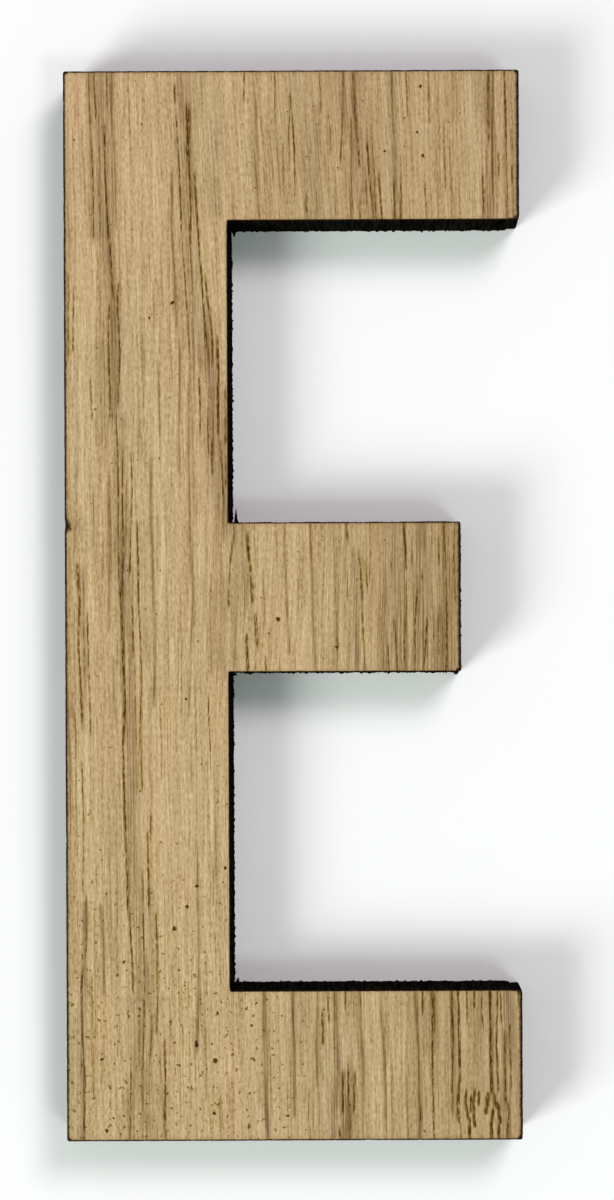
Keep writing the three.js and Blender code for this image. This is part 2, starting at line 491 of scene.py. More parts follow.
# %% Place the bold pores of the top arm
TOP_ARM_PORES = [
    (0.10, 0.69, (-4.3, 50.0), (-4.4, 47.0), (-4.4, 45.8)),
    (0.09, 0.56, (-1.5, 49.5), (-1.5, 45.0)),
    (0.07, 0.44, (-2.05, 48.0), (-2.1, 45.0)),
    (0.12, 0.88, (-0.1, 48.0), (-0.05, 46.2)),
    (0.08, 0.69, (-0.05, 46.5), (-0.25, 44.0), (-0.15, 41.0)),
    (0.08, 0.75, (0.1, 46.0), (0.3, 43.0), (0.35, 38.0)),
    (0.07, 0.50, (-0.75, 43.5), (-0.65, 38.0)),
    (0.07, 0.50, (-1.3, 43.0), (-1.2, 41.0)),
    (0.12, 0.81, (1.4, 38.7), (1.45, 37.0), (1.6, 36.0)),
    (0.09, 0.62, (2.7, 49.3), (2.85, 46.0)),
    (0.09, 0.56, (3.4, 46.5), (3.65, 44.5), (3.75, 42.0)),
    (0.08, 0.50, (1.8, 43.5), (1.8, 41.5)),
    (0.09, 0.62, (4.9, 49.2), (4.8, 45.0), (4.6, 41.0)),
    (0.08, 0.44, (4.1, 40.5), (4.1, 36.5)),
    (0.10, 0.68, (5.8, 50.0), (6.0, 47.5), (6.1, 46.0)),
    (0.15, 0.68, (5.95, 47.0), (6.1, 45.0), (6.2, 43.8)),
    (0.10, 0.75, (6.2, 44.0), (6.3, 42.5), (6.4, 40.5)),
    (0.08, 0.44, (5.6, 46.0), (5.65, 42.0), (5.6, 36.5)),
    (0.10, 0.88, (7.05, 43.5), (7.2, 41.5), (7.3, 39.8)),
    (0.08, 0.69, (7.0, 40.0), (6.95, 39.0), (7.1, 37.0)),
    (0.08, 0.81, (7.3, 40.0), (7.5, 38.0), (7.7, 36.0)),
    (0.08, 0.81, (7.55, 39.0), (7.8, 37.5), (7.95, 36.0)),
    (0.10, 0.88, (8.15, 40.7), (8.3, 38.5), (8.5, 36.0)),
    (0.08, 0.75, (6.4, 38.0), (6.4, 36.0)),
    (0.10, 0.52, (9.4, 50.0), (9.45, 46.0), (9.6, 43.5)),
    (0.10, 0.75, (9.6, 40.0), (9.65, 36.5)),
    (0.09, 0.81, (10.25, 40.3), (10.2, 36.2)),
    (0.09, 0.81, (10.75, 50.0), (10.85, 47.5), (10.95, 45.5)),
    (0.10, 0.62, (12.85, 49.5), (12.95, 46.5), (13.0, 44.8)),
    (0.08, 0.62, (14.3, 45.5), (14.35, 42.0), (14.4, 38.5)),
    (0.10, 0.56, (12.4, 39.8), (12.6, 37.5), (12.65, 36.1)),
    (0.10, 0.88, (17.85, 40.7), (17.95, 38.5), (18.0, 36.0)),
    (0.12, 0.50, (18.45, 50.0), (18.4, 46.0), (18.55, 43.0)),
    (0.10, 0.46, (18.85, 50.0), (18.85, 44.0), (18.8, 38.0)),
    (0.10, 0.75, (19.35, 42.5), (19.4, 39.7)),
    (0.10, 0.81, (19.95, 50.0), (20.05, 46.0), (20.1, 43.0)),
    (0.09, 0.62, (20.1, 43.5), (20.2, 39.0), (20.2, 36.3)),
    (0.10, 0.62, (20.55, 44.5), (20.7, 42.0)),
    (0.10, 0.81, (20.6, 41.3), (20.65, 39.2)),
    (0.07, 0.56, (18.35, 38.5), (18.35, 36.0)),
]
print(len(TOP_ARM_PORES), "bold pores on the top arm")

# %% Place the bold pores of the middle arm
MIDDLE_ARM_PORES = [
    (0.10, 0.80, (-5.62, 6.2), (-5.72, 5.0), (-5.88, 3.5)),
    (0.10, 0.75, (-5.9, 3.8), (-6.0, 0.5), (-5.95, -0.5)),
    (0.08, 0.90, (-5.45, 7.8), (-5.48, 5.6)),
    (0.13, 1.00, (-4.3, 6.88), (-4.22, 6.0), (-4.0, 4.0)),
    (0.12, 1.00, (-3.95, 4.0), (-3.85, 2.0), (-3.75, 0.0)),
    (0.18, 0.85, (-3.5, -0.6), (-3.4, -2.5), (-3.3, -4.0)),
    (0.10, 0.50, (-3.5, -4.0), (-3.5, -6.2)),
    (0.13, 1.00, (-4.35, -2.6), (-4.3, -4.5), (-4.2, -6.2)),
    (0.10, 0.85, (-2.6, -4.5), (-2.5, -6.2)),
    (0.09, 0.57, (-1.25, -5.0), (-1.2, -6.2)),
    (0.07, 0.25, (1.65, 7.8), (1.75, 4.0), (1.85, 0.0), (2.0, -4.0), (2.15, -6.2)),
    (0.10, 0.95, (5.0, 7.5), (5.15, 5.5)),
    (0.08, 0.57, (5.1, 3.5), (5.1, 0.3)),
    (0.10, 0.95, (6.2, 5.3), (6.3, 3.0), (6.45, 0.5)),
    (0.09, 0.75, (6.4, 1.5), (6.5, -1.0), (6.6, -3.0), (6.7, -6.2)),
    (0.10, 0.95, (6.75, 4.3), (6.85, 3.0), (7.0, 1.2)),
    (0.08, 0.63, (7.2, 7.7), (7.25, 4.5), (7.15, 2.0)),
    (0.08, 0.57, (9.2, 5.0), (9.2, 3.0)),
    (0.10, 0.75, (9.4, -1.0), (9.55, -3.0), (9.7, -5.5)),
    (0.09, 0.75, (10.35, 7.7), (10.55, 5.5), (10.6, 3.0)),
    (0.09, 0.75, (10.6, 2.5), (10.6, -0.5), (10.4, -3.5), (10.45, -6.2)),
    (0.08, 0.57, (11.15, 6.5), (11.15, 3.5)),
    (0.10, 0.69, (11.6, 1.5), (11.4, -2.0), (11.4, -5.5)),
    (0.09, 0.69, (12.1, 3.5), (12.1, 2.0)),
    (0.10, 0.75, (12.55, -1.0), (12.4, -3.5), (12.25, -6.2)),
    (0.10, 0.63, (13.6, 6.5), (13.65, 3.5)),
    (0.11, 0.80, (14.15, 7.7), (14.2, 5.5), (14.3, 3.0)),
    (0.10, 0.75, (14.3, 3.0), (14.4, -1.0), (14.3, -6.2)),
    (0.08, 0.63, (13.65, 0.5), (13.6, -2.0), (13.65, -5.0)),
    (0.09, 0.63, (15.15, 7.5), (15.05, 4.0), (15.2, 0.0)),
    (0.10, 0.90, (4.05, -3.0), (4.2, -4.5)),
    (0.08, 0.57, (3.95, -2.0), (4.0, -3.2)),
    (0.08, 0.69, (8.85, -3.5), (8.95, -6.2)),
]
print(len(MIDDLE_ARM_PORES), "bold pores on the middle arm")

# %% Place the bold pores of the bottom arm
FOOT_ARM_PORES = [
    (0.07, 0.45, (-0.15, -37.3), (-0.1, -41.0)),
    (0.09, 0.55, (1.35, -45.0), (1.3, -47.0), (1.2, -48.5)),
    (0.08, 0.50, (1.4, -48.3), (1.45, -50.0)),
    (0.12, 1.00, (2.6, -37.7), (2.6, -40.0), (2.6, -41.3)),
    (0.08, 0.45, (2.65, -42.5), (2.65, -44.5)),
    (0.11, 0.90, (3.1, -36.0), (3.15, -37.5), (3.2, -39.2)),
    (0.08, 0.50, (3.75, -36.0), (3.85, -39.0)),
    (0.10, 0.80, (4.75, -36.0), (4.75, -38.0)),
    (0.08, 0.50, (5.3, -36.0), (5.3, -37.8)),
    (0.13, 0.95, (4.45, -43.3), (4.5, -45.5), (4.5, -47.7)),
    (0.09, 0.80, (4.95, -42.3), (5.0, -44.0), (5.05, -46.5)),
    (0.12, 0.95, (5.6, -43.3), (5.55, -46.0), (5.55, -47.7)),
    (0.10, 0.70, (5.1, -46.0), (5.2, -48.0), (5.2, -49.7)),
    (0.12, 0.85, (4.1, -48.6), (4.3, -50.0)),
    (0.08, 0.50, (6.15, -36.8), (6.2, -38.7)),
    (0.07, 0.25, (8.1, -36.5), (8.2, -39.0), (8.3, -42.0)),
    (0.10, 0.55, (11.75, -46.3), (11.75, -48.7)),
    (0.11, 0.95, (12.0, -36.3), (12.0, -38.6)),
    (0.18, 0.95, (12.9, -36.0), (12.95, -38.2)),
    (0.14, 0.65, (13.1, -37.8), (13.0, -40.2)),
    (0.10, 0.85, (12.9, -38.0), (12.85, -43.0), (12.95, -47.0), (13.0, -50.0)),
    (0.10, 0.90, (14.75, -36.0), (14.8, -39.0), (14.9, -41.7)),
    (0.10, 0.55, (14.8, -41.0), (14.7, -45.0), (14.7, -48.0)),
    (0.12, 1.40, (15.3, -36.0), (15.35, -40.0), (15.45, -45.0)),
    (0.16, 0.85, (15.4, -44.3), (15.25, -46.5), (15.3, -48.7)),
    (0.11, 0.65, (15.4, -48.0), (15.5, -50.0)),
    (0.08, 0.80, (16.05, -36.3), (16.1, -39.2)),
    (0.09, 0.85, (16.8, -36.0), (16.8, -38.0)),
    (0.08, 0.85, (17.5, -36.0), (17.5, -38.0), (17.65, -40.0)),
    (0.12, 1.25, (18.25, -36.0), (18.3, -40.0), (18.35, -45.8)),
    (0.11, 0.95, (19.0, -36.6), (18.9, -41.0), (19.0, -45.8)),
    (0.09, 0.80, (19.2, -36.0), (19.3, -39.2)),
    (0.10, 0.85, (19.6, -39.8), (19.7, -44.0), (19.7, -46.8)),
    (0.09, 0.70, (20.1, -38.8), (20.2, -44.0), (20.2, -45.8)),
    (0.10, 0.80, (19.8, -45.8), (20.1, -48.2)),
    (0.10, 0.75, (20.0, -47.3), (19.8, -50.0)),
    (0.10, 0.85, (20.9, -36.0), (21.0, -38.0)),
]
CURLED_PORES = [
    (0.11, 1.40, (16.05, -45.2), (15.95, -46.5), (16.25, -48.2)),
    (0.12, 1.40, (15.95, -46.8), (16.35, -48.2), (16.3, -50.0)),
    (0.12, 1.40, (16.85, -45.2), (16.7, -46.2), (16.75, -48.0), (16.9, -49.0)),
    (0.10, 1.30, (16.45, -45.6), (16.4, -47.6)),
    (0.11, 1.40, (17.2, -45.4), (17.15, -46.9)),
    (0.19, 1.40, (18.05, -45.5), (17.9, -47.7)),
    (0.16, 1.40, (18.6, -45.5), (18.85, -47.2)),
    (0.12, 1.40, (18.95, -46.4), (19.25, -48.6)),
    (0.13, 1.40, (18.6, -46.9), (18.35, -48.5), (18.4, -50.0)),
    (0.12, 1.40, (19.05, -47.3), (19.05, -50.0)),
]
FACE_PORES = STEM_PORES + TOP_ARM_PORES + MIDDLE_ARM_PORES + FOOT_ARM_PORES + CURLED_PORES
print(len(FACE_PORES), "bold pores on the face")

# %% [markdown]
# Shades are the soft grey bands of the growth rings. They are written in the same way, but they
# are wider, paler and not grooved. The widest ones tint a whole bundle of pores. A few pale bands
# between them do the opposite: they lighten the wood.

# %% Place the soft shades
STEM_SHADES = [
    (0.90, 0.42, (-17.8, 51.0), (-17.7, 42.0), (-17.3, 34.0)),
    (0.26, 0.60, (-16.75, 51.0), (-16.7, 44.0), (-16.6, 35.0)),
    (0.26, 0.45, (-18.9, 51.0), (-18.7, 42.0), (-18.5, 34.0)),
    (0.60, 0.45, (-17.2, 36.0), (-16.6, 28.0), (-16.5, 17.0)),
    (0.45, 0.30, (-17.9, 25.0), (-17.4, 13.0)),
    (0.65, 0.45, (-16.0, 18.0), (-15.9, 8.0), (-15.6, -2.0), (-15.3, -12.0), (-15.2, -21.0)),
    (0.25, 0.35, (-17.1, 17.5), (-17.1, -2.5)),
    (0.60, 0.38, (-15.2, -18.5), (-14.6, -30.0), (-14.3, -37.0)),
    (0.85, 0.42, (-14.0, -33.0), (-13.7, -42.0), (-13.6, -52.0)),
    (0.28, 0.40, (-13.5, -26.0), (-13.3, -40.0)),
    (0.16, 0.66, (-13.15, 13.5), (-13.25, 8.0), (-13.1, 3.0), (-12.85, -5.0), (-13.0, -9.5)),
    (0.16, 0.55, (-9.65, 17.0), (-9.65, 10.0), (-9.35, 0.0), (-9.65, -5.0), (-9.7, -10.5)),
    (0.14, 0.45, (-9.7, -12.0), (-9.5, -17.5)),
    (0.90, 0.40, (-10.1, 51.0), (-9.9, 42.0), (-9.4, 33.0), (-8.7, 22.0)),
    (0.85, 0.45, (-8.4, 28.0), (-7.4, 20.0), (-6.8, 12.0), (-6.3, 6.0)),
    (0.20, 0.50, (-11.1, 41.0), (-11.25, 36.0), (-11.05, 31.5), (-10.9, 27.0)),
    (0.16, 0.50, (-10.9, 28.0), (-10.5, 24.0), (-10.55, 20.0), (-10.6, 12.0)),
    (0.14, 0.40, (-12.7, 24.0), (-12.5, 20.0), (-12.4, 15.5)),
    (0.18, 0.30, (-13.95, 26.5), (-14.0, 21.5)),
    (0.15, 0.40, (-18.6, 11.2), (-18.6, 5.0)),
    (0.35, 0.38, (-19.7, 4.0), (-19.5, -12.0)),
    (0.15, 0.35, (-20.05, 17.8), (-20.1, 11.5)),
    (0.18, 0.50, (-20.9, -9.0), (-20.9, -20.0)),
    (0.35, 0.42, (-19.6, -27.5), (-19.75, -38.0), (-19.8, -52.0)),
    (0.18, 0.75, (-18.05, -27.5), (-17.9, -32.0), (-17.8, -36.5)),
    (0.20, 0.64, (-9.1, -21.5), (-9.05, -26.0), (-8.9, -32.0), (-8.95, -36.0), (-9.15, -42.0)),
    (0.15, 0.42, (-7.5, -15.0), (-7.35, -20.0), (-7.2, -25.5)),
    (0.30, 0.40, (-16.85, -4.5), (-16.7, -11.5)),
    (0.60, 0.18, (-9.0, 24.0), (-9.2, 8.0)),
    (0.50, 0.12, (-15.3, 34.0), (-15.0, 14.0)),
    (0.50, 0.16, (-13.9, 8.0), (-13.7, -6.0)),
    (1.20, 0.20, (-6.6, 8.0), (-6.7, -7.0)),
    (0.60, 0.16, (-16.9, -7.0), (-16.5, -36.0)),
    (0.70, 0.30, (-15.2, -36.0), (-15.3, -52.0)),
    (0.60, 0.18, (-12.2, -36.0), (-12.1, -52.0)),
]
TOP_ARM_SHADES = [
    (0.18, 0.40, (-3.2, 47.5), (-3.4, 44.5), (-3.2, 40.5), (-3.0, 36.5)),
    (0.25, 0.30, (-1.4, 49.5), (-1.45, 44.0), (-1.1, 36.0)),
    (0.28, 0.35, (2.4, 47.0), (2.45, 41.0), (2.4, 36.0)),
    (0.45, 0.25, (4.9, 51.0), (5.2, 43.0)),
    (0.50, 0.30, (5.9, 51.0), (6.0, 43.0)),
    (0.55, 0.25, (6.6, 44.5), (7.8, 35.0)),
    (0.25, 0.40, (5.6, 47.0), (5.65, 42.0), (5.6, 35.0)),
    (0.25, 0.32, (9.4, 51.0), (9.6, 42.5), (9.7, 39.0), (9.6, 35.0)),
    (0.45, 0.40, (18.65, 51.0), (18.7, 43.0), (18.8, 35.0)),
    (0.50, 0.20, (20.2, 51.0), (20.3, 35.0)),
    (0.15, 0.30, (-5.5, 39.8), (-5.4, 35.5)),
    (0.90, 0.20, (-7.5, 51.0), (-7.2, 36.0)),
    (2.40, 0.09, (2.0, 51.0), (2.0, 35.0)),
]
MIDDLE_ARM_SHADES = [
    (0.35, 0.35, (-5.2, 8.5), (-5.4, -7.0)),
    (0.30, 0.35, (-4.7, 8.0), (-4.5, -0.5)),
    (0.12, 0.66, (-0.8, 8.2), (-0.7, 4.0), (-0.55, 0.0), (-0.35, -4.7)),
    (0.16, 0.60, (1.65, 8.5), (1.75, 4.0), (1.85, 0.0), (2.0, -4.0), (2.15, -7.0)),
    (0.50, 0.35, (9.6, 8.5), (9.6, -7.0)),
    (0.20, 0.35, (10.5, 8.5), (10.5, -7.0)),
    (0.80, 0.35, (11.9, 8.5), (11.9, -7.0)),
    (1.00, 0.40, (14.2, 8.5), (14.3, -7.0)),
    (0.25, 0.35, (5.6, 5.5), (5.9, 1.0), (6.0, -6.0)),
    (0.12, 0.30, (4.2, 6.8), (4.15, -6.5)),
    (0.50, 0.30, (8.6, 8.5), (8.6, -7.0)),
]
FOOT_ARM_SHADES = [
    (0.20, 0.68, (-2.8, -35.5), (-2.75, -41.0), (-2.65, -46.5), (-2.4, -51.0)),
    (0.18, 0.60, (-0.15, -36.8), (-0.1, -41.0), (-0.05, -48.0)),
    (0.20, 0.40, (2.15, -35.5), (2.1, -41.0), (2.15, -45.0)),
    (0.24, 0.55, (3.8, -35.5), (3.8, -40.0), (4.0, -43.0), (3.8, -47.0), (3.6, -50.0)),
    (0.20, 0.44, (6.15, -36.0), (6.25, -40.0), (6.4, -43.5), (6.25, -46.0), (6.3, -51.0)),
    (0.18, 0.46, (8.1, -36.0), (8.2, -39.0), (8.3, -42.0), (8.45, -46.0), (8.4, -51.0)),
    (0.20, 0.50, (11.3, -35.5), (11.45, -40.0), (11.6, -43.5), (11.8, -47.5), (11.6, -51.0)),
    (0.60, 0.40, (4.95, -43.0), (5.05, -52.0)),
    (0.40, 0.35, (12.9, -35.0), (13.0, -42.0)),
    (0.30, 0.45, (14.7, -35.0), (14.9, -48.5)),
    (0.40, 0.35, (18.3, -35.0), (18.5, -46.5)),
    (0.60, 0.40, (19.8, -35.0), (19.9, -52.0)),
    (0.18, 0.25, (-5.85, -35.5), (-5.8, -51.0)),
    (0.80, 0.14, (17.5, -35.0), (17.5, -46.0)),
]
FACE_SHADES = STEM_SHADES + TOP_ARM_SHADES + MIDDLE_ARM_SHADES + FOOT_ARM_SHADES
FACE_PALE_BANDS = [
    (1.30, 0.18, (-13.3, 51.0), (-13.0, 36.0), (-12.9, 22.0), (-12.6, 8.0)),
    (1.20, 0.12, (-12.2, 8.0), (-11.6, -7.0)),
    (2.60, 0.15, (0.2, 9.0), (0.6, -7.0)),
    (1.40, 0.15, (-8.6, -8.0), (-8.3, -36.0)),
    (1.20, 0.15, (-5.0, -35.0), (-5.0, -52.0)),
    (1.30, 0.14, (8.2, -35.0), (8.3, -52.0)),
]
print(len(FACE_SHADES), "soft shades and", len(FACE_PALE_BANDS), "pale bands on the face")

# %% [markdown]
# Between the bold marks the wood is full of faint, short vessels. Hundreds of them can't be
# placed by hand, so a seeded generator draws them: the seed makes every run the same. They lean
# with the grain, which tilts a little to the right in the upper part of the letter and stands
# upright in the foot.

# %% Draw the faint vessels
FACE_SEED = 11
BACK_SEED = 23
FAINT_VESSELS = 1300
FAINT_WIDTHS = (0.06, 0.11)
FAINT_SHORTEST = 2.0
FAINT_GAMMA = (2.0, 2.6)
FAINT_DEPTH = 0.06
FAINT_DEEPER = 0.36
FAINT_BIAS = 2.2
ABOVE_SHEET = 4
BACK_LENGTHS = (5, 16)
BACK_SPREAD = (0.7, 1.5)
CLEAR_PORE = 0.3
LEAN_UPRIGHT = 0.012
LEAN_EXTRA = 0.07
LEAN_CENTRE = 0.0
LEAN_SPREAD = 11.0
LEAN_FROM = -12.0
LEAN_TO = 34.0
CUT_OFF = 0.9
RUN_PAST = 3.5


def grain_lean(x, y):
    """How far the grain runs to the right for each millimetre down."""
    share = np.clip((y - LEAN_FROM) / (LEAN_TO - LEAN_FROM), 0, 1)
    return LEAN_UPRIGHT + LEAN_EXTRA * share * np.exp(-(((x - LEAN_CENTRE) / LEAN_SPREAD) ** 2))


def faint_vessel(draw):
    """One random line, short and faint, that leans with the grain."""
    x = draw.uniform(SHEET_LOW[0], SHEET_HIGH[0])
    top = draw.uniform(SHEET_LOW[1], SHEET_HIGH[1] + ABOVE_SHEET)
    length = FAINT_SHORTEST + draw.gamma(*FAINT_GAMMA)
    lean = length * grain_lean(x, top - length / 2)
    width = draw.uniform(*FAINT_WIDTHS)
    depth = FAINT_DEPTH + FAINT_DEEPER * draw.random() ** FAINT_BIAS
    return (width, depth, (x, top), (x + lean, top - length))


def ends_at_cut(x, y):
    """Whether a mark that ends at a point was cut off there."""
    _, facing, gap = nearest_cut(x * MM, y * MM)
    return gap < CUT_OFF * MM and abs(facing.y) > LEVEL


def past_the_cut(line):
    """Runs a mark on past the cut that ends it, so that it doesn't fade out before the edge."""
    width, depth, *points = line
    top_x, top_y = points[0]
    if ends_at_cut(top_x, top_y):
        points.insert(0, (top_x, top_y + RUN_PAST))
    low_x, low_y = points[-1]
    if ends_at_cut(low_x, low_y):
        points.append((low_x, low_y - RUN_PAST))
    return (width, depth, *points)


def draw_leaf(seed, pores, shades, pale_bands):
    """The pore sheet and the shade sheet of one leaf of oak, with its pale bands below nought."""
    draw = np.random.default_rng(seed)
    pore_sheet, shade_sheet, pale_sheet = blank_sheet(), blank_sheet(), blank_sheet()
    for line in map(past_the_cut, pores):
        draw_line(pore_sheet, draw, line)
    for line in map(past_the_cut, shades):
        draw_line(shade_sheet, draw, line)
    for _ in range(FAINT_VESSELS):
        draw_line(pore_sheet, draw, faint_vessel(draw))
    for line in pale_bands:
        draw_line(pale_sheet, draw, line)
    return pore_sheet, shade_sheet - pale_sheet


def back_marks(seed, count, width, depth):
    """Bold marks for the back leaf, placed by chance."""
    draw = np.random.default_rng(seed)
    marks = []
    for _ in range(count):
        x = draw.uniform(SHEET_LOW[0], SHEET_HIGH[0])
        top = draw.uniform(SHEET_LOW[1] + ABOVE_SHEET, SHEET_HIGH[1] + 2 * ABOVE_SHEET)
        length = draw.uniform(*BACK_LENGTHS)
        ends = ((x, top), (x + LEAN_UPRIGHT * length, top - length))
        marks.append((width * draw.uniform(*BACK_SPREAD), depth, *ends))
    return marks


face_sheets = draw_leaf(FACE_SEED, FACE_PORES, FACE_SHADES, FACE_PALE_BANDS)
back_pores = back_marks(BACK_SEED, count=150, width=0.11, depth=0.7)
back_shades = back_marks(BACK_SEED + 1, count=60, width=0.4, depth=0.4)
back_sheets = draw_leaf(BACK_SEED, back_pores, back_shades, pale_bands=[])
print("pores cover", round(float((face_sheets[0] > CLEAR_PORE).mean()), 3), "of the face's sheet")

# %% [markdown]
# A leaf of veneer is a sheet of oak 0.6 mm thick. Its show side needs a fine mesh, so that the
# pores can be pressed into it: narrow cells across the grain and longer ones along it. A grid
# covers the whole rectangle, lines are scored where the notches end, and the cells in the
# notches are deleted. A finer mesh all over would be slow, so only the curled pores get shorter
# cells.

# %% Plan the show sides of the leaves
FACE_CELL = (0.07 * MM, 0.48 * MM)
BACK_CELL = (0.12 * MM, 0.5 * MM)
PORE_DEPTH = 0.06 * MM
MICRON_DIGITS = 6
FINE_ROWS = 3
CURL_LOW = Vector((15.4, -50.0)) * MM
CURL_HIGH = Vector((19.6, -44.8)) * MM
DOWN = Vector((0, 0, -1))

solid = merged_layer("core_board")
SOLID_TREE = BVHTree.FromBMesh(solid)
solid.free()


def on_letter(point):
    """Whether a point lies over the letter and not over a notch."""
    above = Vector((point.x, point.y, 2 * BOARD_THICKNESS))
    return SOLID_TREE.ray_cast(above, DOWN)[0] is not None


def score_line(leaf, point, direction):
    """Cuts a line across the whole leaf without parting it."""
    everything = leaf.verts[:] + leaf.edges[:] + leaf.faces[:]
    bmesh.ops.bisect_plane(
        leaf, geom=everything, dist=MERGE_DISTANCE, plane_co=point, plane_no=direction
    )


def leaf_grid(low, high, height, cell):
    """A flat grid in the shape of the letter."""
    size = high - low
    leaf = bmesh.new()
    columns, rows = round(size.x / cell[0]), round(size.y / cell[1])
    bmesh.ops.create_grid(leaf, x_segments=columns, y_segments=rows, size=0.5)
    bmesh.ops.scale(leaf, vec=(size.x, size.y, 1), verts=leaf.verts)
    middle = (low + high) / 2
    bmesh.ops.translate(leaf, vec=(middle.x, middle.y, height), verts=leaf.verts)
    for x in {round(corner.x, MICRON_DIGITS) for corner in NOTCH_CORNERS}:
        score_line(leaf, Vector((x, 0, 0)), Vector((1, 0, 0)))
    for y in {round(corner.y, MICRON_DIGITS) for corner in NOTCH_CORNERS}:
        score_line(leaf, Vector((0, y, 0)), Vector((0, 1, 0)))
    middle_tip = sorted({round(corner.x, MICRON_DIGITS) for corner, _ in CORNERS})[-2]
    score_line(leaf, Vector((middle_tip, 0, 0)), Vector((1, 0, 0)))
    return keep_faces(leaf, lambda face: on_letter(face.calc_center_median()))


def refine_rows(leaf, low, high):
    """Gives a part of the leaf shorter cells, by dividing its edges that run with the grain."""

    def inside(vert):
        """Whether a point lies in that part."""
        return low.x < vert.co.x < high.x and low.y < vert.co.y < high.y

    edges = []
    for edge in leaf.edges:
        one, two = edge.verts
        with_grain = abs(one.co.y - two.co.y) > abs(one.co.x - two.co.x)
        if with_grain and inside(one) and inside(two):
            edges.append(edge)
    bmesh.ops.subdivide_edges(leaf, edges=edges, cuts=FINE_ROWS)


def press_pores(leaf, pore_sheet, outside):
    """Pushes the show side in where the sheet has pores."""
    x = np.array([vert.co.x for vert in leaf.verts]) / MM
    y = np.array([vert.co.y for vert in leaf.verts]) / MM
    depths = PORE_DEPTH * read_sheet(pore_sheet, x, y)
    for vert, depth in zip(leaf.verts, depths):
        vert.co.z -= outside * depth


print("face cells", FACE_CELL[0] / MM, "mm wide and", FACE_CELL[1] / MM, "mm long")

# %% [markdown]
# A leaf is closed from its open edge inwards. The rim is extruded towards the core in rings, with
# the first ring as a tiny rounded edge, and the last ring is filled. At the end the rim is moved
# to where the cut is burnt, and takes the cells beside it along, so that none of them folds over.

# %% Close the oak leaves
EDGE_ROUND = 0.02 * MM
RIM_DEPTHS = (0.02 * MM, 0.3 * MM, 0.6 * MM)
RIM_STEP = 0.2 * MM
RIM_CUTS = 2
RIM_BAND = 0.5 * MM
SHOW_SIDE, BURNT_SIDE = 0, 1
LOOKS_UP, LOOKS_DOWN = 1, -1


def open_edges(leaf):
    """The edges that have a face on one side only."""
    return [edge for edge in leaf.edges if edge.is_boundary]


def points_of(edges):
    """The points of some edges, each of them once."""
    return {vert for edge in edges for vert in edge.verts}


def turn_rim(leaf, height, outside):
    """Closes a leaf with a burnt rim and a flat inner side."""
    show_side = set(leaf.faces)
    long_edges = [edge for edge in open_edges(leaf) if edge.calc_length() > RIM_STEP]
    bmesh.ops.subdivide_edges(leaf, edges=long_edges, cuts=RIM_CUTS)
    rim = open_edges(leaf)
    for edge in rim:
        edge.smooth = False
    for vert in points_of(rim):
        clean, _, _ = nearest_cut(vert.co.x, vert.co.y)
        vert.co = Vector((*clean.xy, height))
    for depth in RIM_DEPTHS:
        bmesh.ops.extrude_edge_only(leaf, edges=rim)
        rim = open_edges(leaf)
        for vert in points_of(rim):
            vert.co.z = height - outside * depth
    inner_side = bmesh.ops.edgeloop_fill(leaf, edges=rim)["faces"]
    bmesh.ops.triangulate(leaf, faces=inner_side)
    for edge in rim:
        edge.smooth = False
    for face in leaf.faces:
        face.material_index = SHOW_SIDE if face in show_side else BURNT_SIDE
        face.smooth = True
    bmesh.ops.recalc_face_normals(leaf, faces=leaf.faces)


def burn_rim(leaf):
    """Moves a leaf's rim to where the burnt wall runs, and the cells beside it in proportion."""
    show_faces = [face for face in leaf.faces if face.material_index == SHOW_SIDE]
    show_points = {vert for face in show_faces for vert in face.verts}
    for vert in leaf.verts:
        clean, facing, gap = nearest_cut(vert.co.x, vert.co.y)
        if gap < RIM_BAND:
            shift = burnt_wall(*vert.co) - clean
            if vert in show_points:
                shift -= facing * EDGE_ROUND
            vert.co.xy += (1 - gap / RIM_BAND) * shift.xy


def oak_leaf(node, outside, cell, pore_sheet):
    """One closed leaf of veneer. outside tells whether its show side looks up or down."""
    low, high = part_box(node)
    height = high.z if outside == LOOKS_UP else low.z
    leaf = leaf_grid(low, high, height, cell)
    if outside == LOOKS_UP:
        refine_rows(leaf, CURL_LOW, CURL_HIGH)
    press_pores(leaf, pore_sheet, outside)
    turn_rim(leaf, height, outside)
    burn_rim(leaf)
    return leaf


face_veneer = oak_leaf("face_veneer", LOOKS_UP, FACE_CELL, face_sheets[0])
back_veneer = oak_leaf("back_veneer", LOOKS_DOWN, BACK_CELL, back_sheets[0])
face_leaf = finish_piece(face_veneer, "oak_face", "face_veneer")
back_leaf = finish_piece(back_veneer, "oak_back", "back_veneer")

# %% [markdown]
# The materials need to know where they are on the leaf. Object coordinates would do for an even
# pattern, but here the fibres follow the grain and the scorch follows the cut. So each point of
# a leaf carries its own values: its place along and across the grain in millimetres, the pore
# and the shade that were drawn there, and how many burn widths it is from the cut. The burn laps
# furthest onto the face at the ends of the arms, and hardly at all along the notch walls that
# are in view. The wood also darkens a little to the right.

# %% Write the values on the leaves
EDGE_BURN = 0.165
LEFT_BURN = 0.24
END_BURN = 0.33
NOTCH_BURN = 0.10
NICK_BURN = 0.45
SQUARE_ON = 0.95
OUTER_ARMS = 20 * MM
SHADE_STRENGTH = 1.6
DARKER_RIGHT = 0.18
DARKER_FROM, DARKER_TO = -9.0, 4.0


def burn_width(clean, facing):
    """How far the burn laps onto the face beside a point of the cut, in millimetres."""
    if facing.x < -LEVEL:
        return LEFT_BURN + NICK_BURN * in_nick(clean.y, facing)
    if facing.x > SQUARE_ON:
        return END_BURN if clean.x > 0 else NOTCH_BURN
    over_middle_arm = facing.y > 0 and abs(clean.y) < OUTER_ARMS
    return EDGE_BURN if on_outside(clean) or over_middle_arm else NOTCH_BURN


